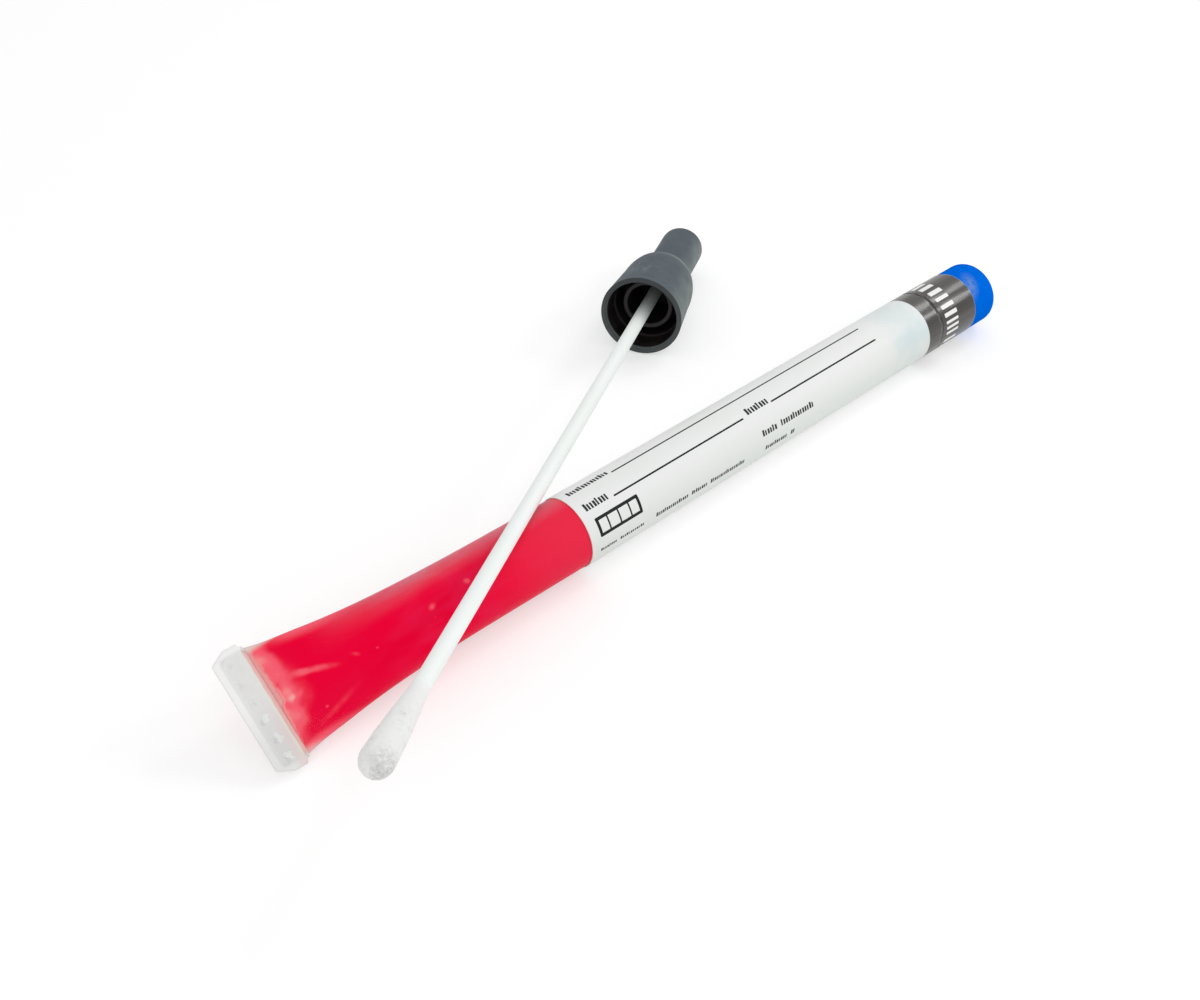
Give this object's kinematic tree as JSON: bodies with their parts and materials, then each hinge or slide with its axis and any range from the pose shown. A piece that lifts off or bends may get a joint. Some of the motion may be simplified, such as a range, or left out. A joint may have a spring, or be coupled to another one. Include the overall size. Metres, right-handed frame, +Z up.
{
  "type": "specimen swab tube",
  "caption": "Flat-sealed squeeze tube of red medium with a plain label and a pull-off stopper, its capped fibre swab lying across it.",
  "frame": {"origin": "on the surface that the set lies on, under the middle of the set's box", "axes": "+X along the tube from its flat sealed end to its stopper, +Y towards the side where the swab's cap lies, +Z up"},
  "size_m": [0.17, 0.0862, 0.0206],
  "materials": {
    "tube_plastic": "translucent milky white soft plastic, satin",
    "red_medium": "wet red gel with pale specks, paler where it thins out",
    "label_film": "white satin film with thin dark ruled lines and plain bars",
    "seal_film": "glossy brown-black film with lengthwise creases and plain white blocks",
    "stopper_plastic": "bright blue moulded plastic, satin",
    "cap_plastic": "slate grey moulded plastic, fine matte",
    "stick_plastic": "white slightly translucent moulded plastic",
    "bud_fibre": "wound white fibre, fuzzy"
  },
  "bodies": {
    "tube_and_swab": {"tube": "tube_plastic", "medium": "red_medium", "label": "label_film", "seal_film_lower": "seal_film", "swab_cap": "cap_plastic", "swab_shaft": "stick_plastic", "swab_bud": "bud_fibre"},
    "stopper_and_film": {"stopper": "stopper_plastic", "seal_film_upper": "seal_film"}
  },
  "joints": [
    {"name": "stopper_pull", "type": "slide", "parent": "tube_and_swab", "child": "stopper_and_film", "axis": [1, 0, 0], "range_m": [0, 0.0145]}
  ]
}
